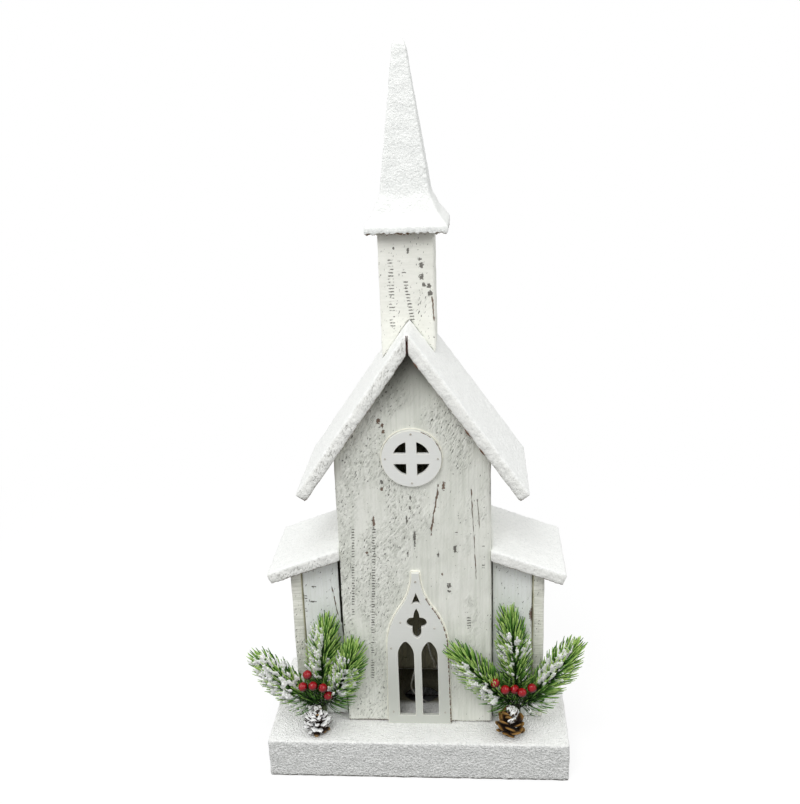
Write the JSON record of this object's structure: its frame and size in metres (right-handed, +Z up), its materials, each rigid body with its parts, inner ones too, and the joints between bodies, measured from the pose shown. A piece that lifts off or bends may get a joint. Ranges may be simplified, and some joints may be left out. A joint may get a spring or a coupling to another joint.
{
  "type": "wooden church light",
  "caption": "Distressed white wooden church with a snowy roof, spire and base, pine picks by the door, and battery lights inside.",
  "frame": {"origin": "centre of the base's underside", "axes": "+Z up along the spire, front with the door towards -Y, +X to the right seen from the front"},
  "size_m": [0.2878, 0.126, 0.6015],
  "materials": {
    "snow_coat": "granular white snow paint on board",
    "distressed_paint": "thin white paint over cracked grain",
    "screen_paint": "smooth white paint on thin board",
    "steel": "plain",
    "black_plastic": "moulded, fine texture",
    "switch_plastic": "moulded",
    "cell_jacket": "plain printed sleeve",
    "clear_wire": "clear insulation",
    "led_lens": "clear lens",
    "pine_needles": "flocked with white",
    "berry_red": "glossy",
    "cone_wood": "dry scales, white tips",
    "floral_tape": "wound tape"
  },
  "bodies": {
    "house": {"aisle_left_front_panel": "distressed_paint", "aisle_left_rear_panel": "distressed_paint", "aisle_left_roof": "snow_coat", "aisle_left_side_wall": "distressed_paint", "aisle_right_front_panel": "distressed_paint", "aisle_right_rear_panel": "distressed_paint", "aisle_right_roof": "snow_coat", "aisle_right_side_wall": "distressed_paint", "base_front_rail": "snow_coat", "base_left_rail": "snow_coat", "base_rear_rail": "snow_coat", "base_right_rail": "snow_coat", "base_top_board": "snow_coat", "battery_box": "black_plastic", "battery_box_screws": "steel", "battery_cell_a": "cell_jacket", "battery_cell_b": "cell_jacket", "contact_bridge": "steel", "contact_negative": "steel", "contact_positive": "steel", "door_screen": "screen_paint", "led_bulbs": "led_lens", "led_wire": "clear_wire", "left_pick_berries": "berry_red", "left_pick_binding": "floral_tape", "left_pick_cone": "cone_wood", "left_pick_sprig_centre": "pine_needles", "left_pick_sprig_left": "pine_needles", "left_pick_sprig_right": "pine_needles", "nave_front_wall": "distressed_paint", "nave_left_wall": "distressed_paint", "nave_rear_wall": "distressed_paint", "nave_right_wall": "distressed_paint", "nave_roof_left": "snow_coat", "nave_roof_right": "snow_coat", "right_pick_berries": "berry_red", "right_pick_binding": "floral_tape", "right_pick_cone": "cone_wood", "right_pick_sprig_centre": "pine_needles", "right_pick_sprig_left": "pine_needles", "right_pick_sprig_right": "pine_needles", "round_window": "screen_paint", "screen_brads": "steel", "spire": "snow_coat", "spire_skirt": "snow_coat", "switch_body": "switch_plastic", "tower_front_board": "distressed_paint", "tower_left_board": "distressed_paint", "tower_rear_board": "distressed_paint", "tower_right_board": "distressed_paint", "window_brads": "steel", "wire_staples": "steel"},
    "battery_lid": {"battery_lid": "black_plastic"},
    "switch_slider": {"switch_slider": "switch_plastic"}
  },
  "joints": [
    {"name": "battery_lid_slide", "type": "slide", "parent": "house", "child": "battery_lid", "axis": [-1, 0, 0], "range_m": [0, 0.06]},
    {"name": "switch_slide", "type": "slide", "parent": "house", "child": "switch_slider", "axis": [0, 1, 0], "range_m": [0, 0.004]}
  ]
}
